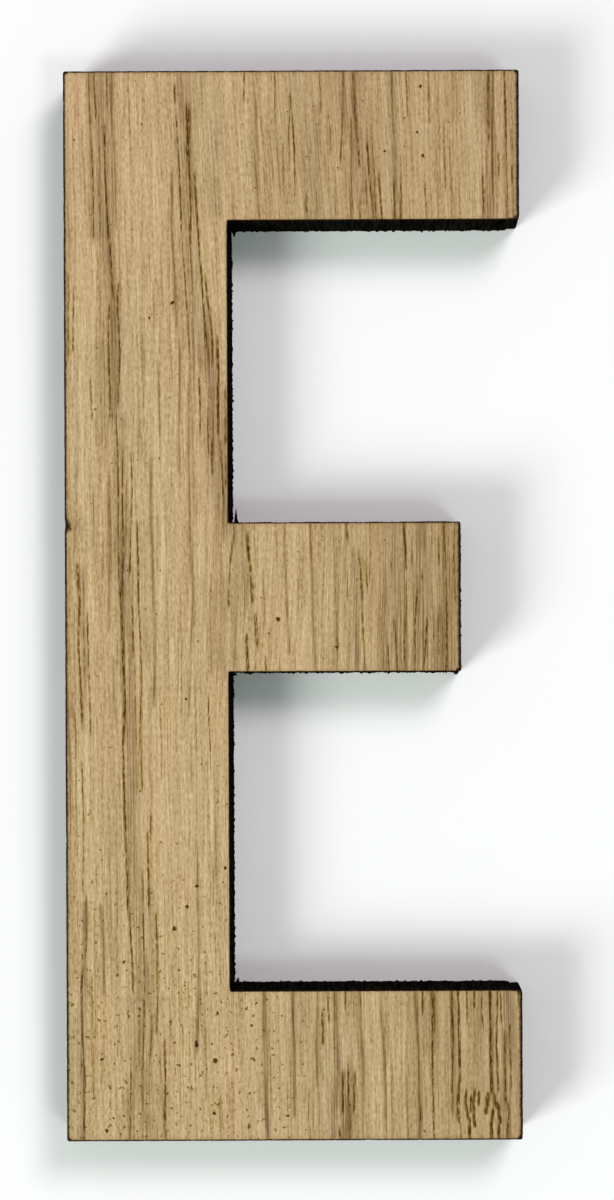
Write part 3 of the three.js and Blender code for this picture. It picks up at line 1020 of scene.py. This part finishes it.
def burn_distance(x, y):
    """How far a point is from the cut, in burn widths."""
    clean, facing, gap = nearest_cut(x * MM, y * MM)
    return gap / MM / burn_width(clean, facing)


def write_values(piece, sheets):
    """Stores the grain, the pores, the shades and the distance from the cut on a leaf."""
    mesh = piece.data
    places = np.empty(3 * len(mesh.vertices))
    mesh.vertices.foreach_get("co", places)
    x, y, z = places.reshape(-1, 3).T / MM
    lean = grain_lean(x, y) * (SHEET_HIGH[1] - y)
    grain = np.stack((x - lean, y, z), axis=1)
    darker = DARKER_RIGHT * np.clip((x - DARKER_FROM) / (DARKER_TO - DARKER_FROM), 0, 1)
    values = {
        "pore": read_sheet(sheets[0], x, y),
        "shade": np.clip(SHADE_STRENGTH * read_sheet(sheets[1], x, y) + darker, -1, 1),
        "from_cut": np.array([burn_distance(px, py) for px, py in zip(x, y)]),
    }
    for name, numbers in values.items():
        layer = mesh.attributes.new(name, "FLOAT", "POINT")
        layer.data.foreach_set("value", numbers)
        print(piece.name, name, "up to", round(float(numbers.max()), 2))
    layer = mesh.attributes.new("grain", "FLOAT_VECTOR", "POINT")
    layer.data.foreach_set("vector", grain.ravel())


write_values(face_leaf, face_sheets)
write_values(back_leaf, back_sheets)

# %% [markdown]
# Every finish is a node tree. Wiring nodes by hand in Python is wordy, so a small helper adds a
# node and takes each input either as a value or as the output of another node. Colours are
# written as they look on screen, from 0 to 255, and turned into the linear values that the
# renderer works with.

# %% Write the node helpers
from mathutils import Color

BRIGHTEST = 255
FIBRE_ROUGHNESS = 0.55


def screen_colour(red, green, blue):
    """A colour as seen on screen, as the linear colour that a socket holds."""
    on_screen = Color((red / BRIGHTEST, green / BRIGHTEST, blue / BRIGHTEST))
    return (*on_screen.from_srgb_to_scene_linear(), 1.0)


def put(tree, kind, inputs, **settings):
    """Adds a node, with each input set to a value or linked to another node's output."""
    node = tree.nodes.new(kind)
    for name, value in settings.items():
        setattr(node, name, value)
    for name, value in inputs.items():
        if isinstance(value, bpy.types.NodeSocket):
            tree.links.new(value, node.inputs[name])
        else:
            node.inputs[name].default_value = value
    return node


def reckon(tree, operation, first, second, third=0.0):
    """The output of a math node."""
    node = put(tree, "ShaderNodeMath", {0: first, 1: second, 2: third}, operation=operation)
    return node.outputs[0]


def ease(tree, value, start, end, low=0.0, high=1.0):
    """Maps a value smoothly from one range to another, and holds it there."""
    inputs = {"Value": value, 1: start, 2: end, 3: low, 4: high}
    node = put(tree, "ShaderNodeMapRange", inputs, interpolation_type="SMOOTHSTEP")
    return node.outputs[0]


def mix_colours(tree, share, first, second, blend="MIX"):
    """The colour between two colours."""
    node = put(
        tree, "ShaderNodeMix", {0: share, 6: first, 7: second}, data_type="RGBA", blend_type=blend
    )
    return node.outputs[2]


def own_value(tree, name, output="Fac"):
    """A value that the leaf carries."""
    return put(tree, "ShaderNodeAttribute", {}, attribute_name=name).outputs[output]


def grain_place(tree):
    """How far a point of a leaf is across and along the grain."""
    place = put(tree, "ShaderNodeSeparateXYZ", {0: own_value(tree, "grain", "Vector")})
    return place.outputs[0], place.outputs[1]


def stretch(tree, place, factors):
    """A place, with each of its numbers multiplied by a factor."""
    node = put(tree, "ShaderNodeVectorMath", {0: place, 1: factors}, operation="MULTIPLY")
    return node.outputs[0]


def grain_noise(tree, across, along, detail=2.0, waver=0.0):
    """Noise drawn out along the grain, with the size of its features in millimetres."""
    place = stretch(tree, own_value(tree, "grain", "Vector"), (1 / across, 1 / along, 1.0))
    inputs = {
        "Vector": place,
        "Scale": 1.0,
        "Detail": detail,
        "Roughness": FIBRE_ROUGHNESS,
        "Distortion": waver,
    }
    return put(tree, "ShaderNodeTexNoise", inputs, noise_dimensions="2D").outputs[0]


def add_noise(tree, total, noise_value, weight):
    """Adds a noise to a running total, as a swing about nought."""
    swing = reckon(tree, "SUBTRACT", noise_value, 0.5)
    return reckon(tree, "MULTIPLY_ADD", swing, weight, total)


def new_finish(name):
    """A node material that is still plain, with its tree and its surface shader."""
    finish = bpy.data.materials.new(name)
    finish.use_nodes = True
    return finish, finish.node_tree, finish.node_tree.nodes["Principled BSDF"]


def wire_surface(tree, shader, colour, roughness, shine, relief):
    """Gives a surface shader its colour, its roughness, its shine and its fine relief."""
    tree.links.new(colour, shader.inputs["Base Color"])
    tree.links.new(roughness, shader.inputs["Roughness"])
    shader.inputs["Specular IOR Level"].default_value = shine
    bump = put(tree, "ShaderNodeBump", relief)
    tree.links.new(bump.outputs[0], shader.inputs["Normal"])


print("middle grey on screen is", round(screen_colour(128, 128, 128)[0], 3), "in linear light")

# %% [markdown]
# Specks of soot lie on the face. Small black beads would stand out of it, but soot is as flat as
# a stain, so the specks are masks in the node tree. The larger ones are listed one by one: each is
# a dot round a point, with an edge that a noise makes ragged. The fine ones are the highest peaks
# of another noise, and more of its peaks are let through on the lower left of the letter.

# %% Place the specks
SPECK_LUMPS = 2.5
SPECK_RAGGED = 0.5
SPECK_OUTER, SPECK_INNER = 1.4, 0.7
SOOT_NOISE = (0.48, 0.52, 1.0)
SOOT_LEFT = (4.0, -4.0)
SOOT_LOW = (-8.0, -40.0)
SOOT_PEAK = 0.79
SOOT_MORE = 0.1
SOOT_EDGE = 0.06
FACE_SPECKS = [
    # x, y and radius of the larger specks, in mm
    (-13.3, 26.9, 0.15), (-11.1, 28.35, 0.19), (-20.3, 43.6, 0.08), (-10.0, -28.1, 0.14),
    (-11.2, -30.1, 0.23), (-9.2, -40.8, 0.19), (-9.2, -41.05, 0.19), (-7.4, -42.5, 0.22),
    (-18.05, -42.3, 0.16), (-10.8, -43.0, 0.12), (-15.9, -33.2, 0.13), (-7.2, -38.05, 0.13),
    (-9.1, -26.2, 0.15), (-6.4, -24.5, 0.15), (-10.0, -8.7, 0.08), (-7.5, -47.4, 0.13),
    (-17.6, -49.0, 0.13), (-16.9, -47.8, 0.11), (-1.4, -1.3, 0.21), (-2.2, -2.65, 0.10),
    (4.1, -3.85, 0.13), (12.1, 48.45, 0.13), (11.8, 44.15, 0.09), (12.3, 42.05, 0.13),
    (8.75, 42.4, 0.10), (-3.3, 39.0, 0.09), (-4.0, -39.2, 0.13), (0.6, -40.7, 0.11),
    (-0.7, -47.7, 0.14), (-1.0, -48.75, 0.11), (-20.82, 7.33, 0.24),
]


def large_specks(tree, specks):
    """A mask of the specks that are listed one by one."""
    place = put(tree, "ShaderNodeTexCoord", {}).outputs["Object"]
    flat = stretch(tree, place, (1 / MM, 1 / MM, 0))
    lumps = put(tree, "ShaderNodeTexNoise", {"Vector": flat, "Scale": SPECK_LUMPS})
    inputs = {0: lumps.outputs["Color"], 1: (SPECK_RAGGED, SPECK_RAGGED, 0), 2: flat}
    ragged = put(tree, "ShaderNodeVectorMath", inputs, operation="MULTIPLY_ADD").outputs[0]
    mask = 0.0
    for x, y, radius in specks:
        middle = (x + SPECK_RAGGED / 2, y + SPECK_RAGGED / 2, 0)
        gap = put(tree, "ShaderNodeVectorMath", {0: ragged, 1: middle}, operation="DISTANCE")
        dot = ease(tree, gap.outputs["Value"], SPECK_OUTER * radius, SPECK_INNER * radius)
        mask = reckon(tree, "MAXIMUM", dot, mask)
    return mask


def small_specks(tree):
    """A mask of the fine soot that lies on a leaf, mostly on the lower left of the letter."""
    across, along = grain_place(tree)
    zone = reckon(tree, "MULTIPLY", ease(tree, across, *SOOT_LEFT), ease(tree, along, *SOOT_LOW))
    peak = reckon(tree, "MULTIPLY_ADD", zone, -SOOT_MORE, SOOT_PEAK)
    over = reckon(tree, "SUBTRACT", grain_noise(tree, *SOOT_NOISE), peak)
    return ease(tree, over, 0.0, SOOT_EDGE)


print(len(FACE_SPECKS), "specks placed by hand")

# %% [markdown]
# Bare sanded oak is pale tan, and no two fibres have quite the same tone. One wood texture with
# rings would look like a cartoon of wood. Here several noises of different widths are added up:
# broad ones for the growth of the tree, fine ones for single fibres. The drawn shades go on top,
# then the pores and the specks of soot, which share one stain, and last the scorch that the beam
# left along the cut, which is darkest at the edge itself.

# %% Choose the colours and patterns of the oak
PALE_OAK = screen_colour(218, 191, 148)
MID_OAK = screen_colour(195, 167, 124)
DEEP_OAK = screen_colour(160, 130, 85)
SHADE_OAK = screen_colour(126, 98, 63)
SCORCH_BROWN = screen_colour(36, 25, 10)
SMOKE_BROWN = screen_colour(150, 116, 72)

# Tints, which multiply the colour under them.
PINK_TINT = (1.015, 0.985, 0.985, 1.0)
GREY_TINT = (0.985, 1.012, 1.02, 1.0)
UPPER_TINT = (1.012, 0.988, 1.0, 1.0)
LOWER_TINT = (0.99, 1.004, 1.0, 1.0)
PORE_STAIN = (0.24, 0.17, 0.08, 1.0)
PORE_WARMTH = (1.0, 0.91, 0.42, 1.0)
DEEP_PORE = (0.61, 0.54, 0.41, 1.0)

# Noises: the size of their features across and along the grain, then their detail and waver.
GROWTH = (1.6, 60.0)
LINES = (0.3, 11.0, 3.0, 0.8)
FIBRES = (0.14, 3.0, 2.0, 0.6)
FLECKS = (0.2, 0.5)
HUES = (1.8, 30.0)
STREAKS = (0.13, 9.0, 2.0, 0.5)
BREAKS = (0.15, 0.8)
SCORCH_EDGE = (0.4, 0.4)

# How much the noises, the pale bands and the fine soot count.
GROWTH_WEIGHT = 0.4
LINE_WEIGHT = 1.3
FIBRE_WEIGHT = 0.8
FLECK_WEIGHT = 1.1
SCORCH_WEIGHT = 0.6
PALE_LIFT = 0.5
SOOT_STRENGTH = 0.8

# Ranges that ease from 0 to 1, or from the third number to the fourth.
PALE_RANGE = (0.0, 0.5)
DEEP_RANGE = (0.05, -0.5)
PINK_RANGE = (0.5, 0.65)
GREY_RANGE = (0.5, 0.35)
UPPER_RANGE = (0.0, 45.0)
LOWER_RANGE = (0.0, -45.0)
STREAK_RANGE = (0.3, 0.7, 0.4, 1.7)
BREAK_RANGE = (0.35, 0.55, 0.3, 1.0)
PORE_RANGE = (0.0, 0.5)
DEEPEST_RANGE = (0.55, 0.9)
SMOKE_RANGE = (4.0, 0.0, 0.0, 0.35)
SCORCH_RANGE = (1.3, 0.4)

OAK_ROUGHNESS = 0.58
STAIN_ROUGHNESS = 0.2
OAK_SHINE = 0.06
GRAIN_BUMP = 0.25
GRAIN_HEIGHT = 0.05 * MM
print("fibres", FIBRES[0], "mm wide, in lines", LINES[0], "mm wide")


# %% Mix the oak finish
def bare_oak(tree, lines, drawn_shade):
    """The tones of the bare wood, lighter in the pale bands."""
    tone = add_noise(tree, 0.0, grain_noise(tree, *GROWTH), GROWTH_WEIGHT)
    tone = add_noise(tree, tone, lines, LINE_WEIGHT)
    tone = add_noise(tree, tone, grain_noise(tree, *FIBRES), FIBRE_WEIGHT)
    tone = add_noise(tree, tone, grain_noise(tree, *FLECKS), FLECK_WEIGHT)
    pale_band = reckon(tree, "MINIMUM", drawn_shade, 0.0)
    tone = reckon(tree, "MULTIPLY_ADD", pale_band, -PALE_LIFT, tone)
    pale = mix_colours(tree, ease(tree, tone, *PALE_RANGE), MID_OAK, PALE_OAK)
    return mix_colours(tree, ease(tree, tone, *DEEP_RANGE), pale, DEEP_OAK)


def tint_oak(tree, colour):
    """Adds the slow changes of hue across the grain and from the top of the letter to its foot."""
    hue = grain_noise(tree, *HUES)
    _, height = grain_place(tree)
    for value, value_range, tint in (
        (hue, PINK_RANGE, PINK_TINT),
        (hue, GREY_RANGE, GREY_TINT),
        (height, UPPER_RANGE, UPPER_TINT),
        (height, LOWER_RANGE, LOWER_TINT),
    ):
        colour = mix_colours(tree, ease(tree, value, *value_range), colour, tint, "MULTIPLY")
    return colour


def shade_oak(tree, colour, drawn_shade):
    """Adds the drawn shades, which fine streaks make uneven."""
    streaks = ease(tree, grain_noise(tree, *STREAKS), *STREAK_RANGE)
    return mix_colours(tree, reckon(tree, "MULTIPLY", drawn_shade, streaks), colour, SHADE_OAK)


def stain_oak(tree, colour, specks):
    """Adds the pores and the soot. Gives the colour and how stained each point is."""
    pore = own_value(tree, "pore")
    spots = large_specks(tree, specks)
    soot = reckon(tree, "MULTIPLY", small_specks(tree), SOOT_STRENGTH)
    broken = ease(tree, grain_noise(tree, *BREAKS), *BREAK_RANGE)
    stain = reckon(tree, "MULTIPLY", ease(tree, pore, *PORE_RANGE), broken)
    stain = reckon(tree, "MAXIMUM", stain, soot)
    stain = reckon(tree, "MAXIMUM", stain, spots)
    colour = mix_colours(tree, stain, colour, PORE_STAIN, "MULTIPLY")
    colour = mix_colours(tree, stain, colour, PORE_WARMTH, "MULTIPLY")
    deepest = ease(tree, reckon(tree, "MAXIMUM", pore, spots), *DEEPEST_RANGE)
    return mix_colours(tree, deepest, colour, DEEP_PORE, "MULTIPLY"), stain


def scorch_oak(tree, colour):
    """Adds the burnt line of the cut and the faint smoke beside it."""
    uneven = grain_noise(tree, *SCORCH_EDGE)
    gap = add_noise(tree, own_value(tree, "from_cut"), uneven, SCORCH_WEIGHT)
    colour = mix_colours(tree, ease(tree, gap, *SMOKE_RANGE), colour, SMOKE_BROWN)
    return mix_colours(tree, ease(tree, gap, *SCORCH_RANGE), colour, SCORCH_BROWN)


def oak_finish(name, specks):
    """Bare sanded oak: matt, a little rougher in the pores, with a fine raised grain."""
    finish, tree, shader = new_finish(name)
    lines = grain_noise(tree, *LINES)
    drawn_shade = own_value(tree, "shade")
    colour = tint_oak(tree, bare_oak(tree, lines, drawn_shade))
    colour = shade_oak(tree, colour, drawn_shade)
    colour, stain = stain_oak(tree, colour, specks)
    colour = scorch_oak(tree, colour)
    roughness = reckon(tree, "MULTIPLY_ADD", stain, STAIN_ROUGHNESS, OAK_ROUGHNESS)
    relief = {"Strength": GRAIN_BUMP, "Distance": GRAIN_HEIGHT, "Height": lines}
    wire_surface(tree, shader, colour, roughness, OAK_SHINE, relief)
    print(name, "uses", len(tree.nodes), "nodes")
    return finish


face_oak = oak_finish("face_oak", FACE_SPECKS)
back_oak = oak_finish("back_oak", [])

# %% [markdown]
# Char is nearly black and very matt, but it isn't one even black: the upright lines of the beam
# catch a little light, and near the face the veneer's edge is only scorched, so it stays brown.
# A plain black would swallow the relief. Two fine noises on Object coordinates vary the tone,
# one stretched upwards along the wall and one like crumbs. The char has no shine of its own, so
# the light that its raised lines catch is painted: the lighter tone lies where the relief is
# highest, as a painted sheen over the uneven char.

# %% Mix the char finishes
CHAR_BLACK = screen_colour(6, 7, 5)
# The grey is partly uneven char and partly painted sheen, which falls on the raised upright lines.
CHAR_GREY_AND_SHEEN = screen_colour(25, 24, 20)
EDGE_BLACK = screen_colour(9, 7, 5)
EDGE_BROWN = screen_colour(46, 33, 20)
GLUE_BLACK = screen_colour(5, 4, 3)
GLUE_BROWN = screen_colour(26, 19, 12)

# Sizes of the upright lines and of the crumbs, along and up the wall.
STROKE_SIZE = (0.22 * MM, 4.0 * MM)
CRUMB_SIZE = (0.12 * MM, 0.12 * MM)
STROKE_SHARE = 0.7
CHAR_DETAIL = 3.0
CHAR_RANGE = (0.4, 0.66)
CHAR_ROUGHNESS = (0.3, 0.7, 0.7, 0.95)
CHAR_SHINE = 0.0
CHAR_BUMP = 0.4
CHAR_HEIGHT = 0.04 * MM


def wall_noise(tree, along, up):
    """Noise on a cut wall, with the size of its features along and up the wall."""
    place = put(tree, "ShaderNodeTexCoord", {}).outputs["Object"]
    stretched = stretch(tree, place, (1 / along, 1 / along, 1 / up))
    inputs = {"Vector": stretched, "Scale": 1.0, "Detail": CHAR_DETAIL}
    return put(tree, "ShaderNodeTexNoise", inputs).outputs[0]


def char_finish(name, dark, light):
    """A laser-burnt wall that varies between two dark tones, the lighter one as painted sheen on
    its raised lines.
    """
    finish, tree, shader = new_finish(name)
    strokes = wall_noise(tree, *STROKE_SIZE)
    crumbs = wall_noise(tree, *CRUMB_SIZE)
    rest = reckon(tree, "MULTIPLY", crumbs, 1 - STROKE_SHARE)
    tone = reckon(tree, "MULTIPLY_ADD", strokes, STROKE_SHARE, rest)
    # The lighter tone follows the height of the relief, so it lies on the raised lines as a painted
    # sheen.
    colour = mix_colours(tree, ease(tree, tone, *CHAR_RANGE), dark, light)
    roughness = ease(tree, crumbs, *CHAR_ROUGHNESS)
    relief = {"Strength": CHAR_BUMP, "Distance": CHAR_HEIGHT, "Height": tone}
    wire_surface(tree, shader, colour, roughness, CHAR_SHINE, relief)
    return finish


charred_board = char_finish("charred_board", CHAR_BLACK, CHAR_GREY_AND_SHEEN)
burnt_edge = char_finish("burnt_veneer_edge", EDGE_BLACK, EDGE_BROWN)
burnt_glue = char_finish("burnt_glue", GLUE_BLACK, GLUE_BROWN)

for piece, finishes in (
    (face_leaf, (face_oak, burnt_edge)),
    (back_leaf, (back_oak, burnt_edge)),
    (charred_core, (charred_board,)),
    (face_glue, (burnt_glue,)),
    (back_glue, (burnt_glue,)),
):
    for finish in finishes:
        piece.data.materials.append(finish)

# %% [markdown]
# The letter lies on a plain white floor and is seen from straight above. The lens is a little
# off centre, so the camera is shifted: it stands over one point of the letter while the picture
# is framed round another. That is what shows the right-hand wall of the stem and the walls on
# the inner sides of the outer arms.

# %% Set up the floor and the camera
FLOOR_SIZE = 1.5
FLOOR_WHITE = screen_colour(252, 252, 252)
FLOOR_ROUGHNESS = 0.9
FLOOR_SHINE = 0.1
PICTURE_WIDTH, PICTURE_HEIGHT = 614, 1200
FACE_PIXELS_PER_MM = 10.702
CAMERA_ABOVE_FACE = 257 * MM
LETTER_PIXEL = (292.9, 605.5)
NADIR_PIXEL = (371.0, 647.0)
LETTER_TURN = math.radians(0.236)
SENSOR = 36.0
NEAREST_SEEN = 10 * MM


def white_floor():
    """A plain white floor, much larger than the view."""
    plane = bmesh.new()
    bmesh.ops.create_grid(plane, x_segments=1, y_segments=1, size=FLOOR_SIZE / 2)
    floor = mesh_object(plane, "floor")
    finish, _, shader = new_finish("floor_white")
    shader.inputs["Base Color"].default_value = FLOOR_WHITE
    shader.inputs["Roughness"].default_value = FLOOR_ROUGHNESS
    shader.inputs["Specular IOR Level"].default_value = FLOOR_SHINE
    floor.data.materials.append(finish)


def overhead_camera():
    """A camera that looks straight down and frames the letter as in the picture."""
    data = bpy.data.cameras.new("overhead")
    camera = add_object("overhead", data)
    across = (NADIR_PIXEL[0] - LETTER_PIXEL[0]) / FACE_PIXELS_PER_MM * MM
    down = (NADIR_PIXEL[1] - LETTER_PIXEL[1]) / FACE_PIXELS_PER_MM * MM
    turned = Vector((across, -down, 0))
    turned.rotate(Euler((0, 0, -LETTER_TURN)))
    camera.location = turned + Vector((0, 0, BOARD_THICKNESS + CAMERA_ABOVE_FACE))
    camera.rotation_euler = (0, 0, -LETTER_TURN)
    seen_height = PICTURE_HEIGHT / FACE_PIXELS_PER_MM * MM
    data.sensor_width = SENSOR
    data.lens = SENSOR * CAMERA_ABOVE_FACE / seen_height
    data.shift_x = (PICTURE_WIDTH / 2 - NADIR_PIXEL[0]) / PICTURE_HEIGHT
    data.shift_y = (NADIR_PIXEL[1] - PICTURE_HEIGHT / 2) / PICTURE_HEIGHT
    data.clip_start = NEAREST_SEEN
    bpy.context.scene.camera = camera
    print("lens", round(data.lens, 1), "shift", round(data.shift_x, 3), round(data.shift_y, 3))


white_floor()
overhead_camera()

# %% [markdown]
# Soft light comes from three sides: the main lamp from the lower left, a second one nearly as
# strong from the upper right, and a small one from the lower right. Each throws its own soft
# shadow on the floor, which shows in the tint of the others. Strong light would bleach the floor
# and the oak, so the lamps and the sky together light a level surface just enough for a colour
# to look as it is written.

# %% Set up the light
LAMP_DISTANCE = 1.2
LAMPS = [
    # name, x and y of the shadow that the face's edge throws in mm, share, width in metres, colour
    ("main_lamp", (7.1, 5.4), 0.37, 0.48, (0.94, 1.0, 0.96)),
    ("second_lamp", (-3.0, -4.1), 0.35, 0.46, (1.0, 0.91, 0.96)),
    ("side_lamp", (-2.6, 2.5), 0.125, 0.26, (0.8, 1.0, 0.88)),
]
SKY_WHITE = (1.0, 1.0, 1.0, 1.0)
SKY_SHARE = 0.25


def soft_lamp(name, shadow, share, width, colour):
    """A square lamp that throws the letter's edge along a given shadow."""
    data = bpy.data.lights.new(name, "AREA")
    lamp = add_object(name, data)
    towards = Vector((-shadow[0] * MM, -shadow[1] * MM, BOARD_THICKNESS)).normalized()
    lamp.location = towards * LAMP_DISTANCE
    lamp.rotation_euler = towards.to_track_quat("Z", "Y").to_euler()
    data.size = width
    data.color = colour
    data.energy = share * math.pi**2 * LAMP_DISTANCE**2 / towards.z
    print(name, "has", round(data.energy, 2), "watts")


def white_sky():
    """An even white light from all sides."""
    sky = bpy.data.worlds.new("sky")
    sky.use_nodes = True
    background = sky.node_tree.nodes["Background"]
    background.inputs["Color"].default_value = SKY_WHITE
    background.inputs["Strength"].default_value = SKY_SHARE
    bpy.context.scene.world = sky


for lamp in LAMPS:
    soft_lamp(*lamp)
white_sky()
bpy.context.scene.view_settings.view_transform = "Standard"
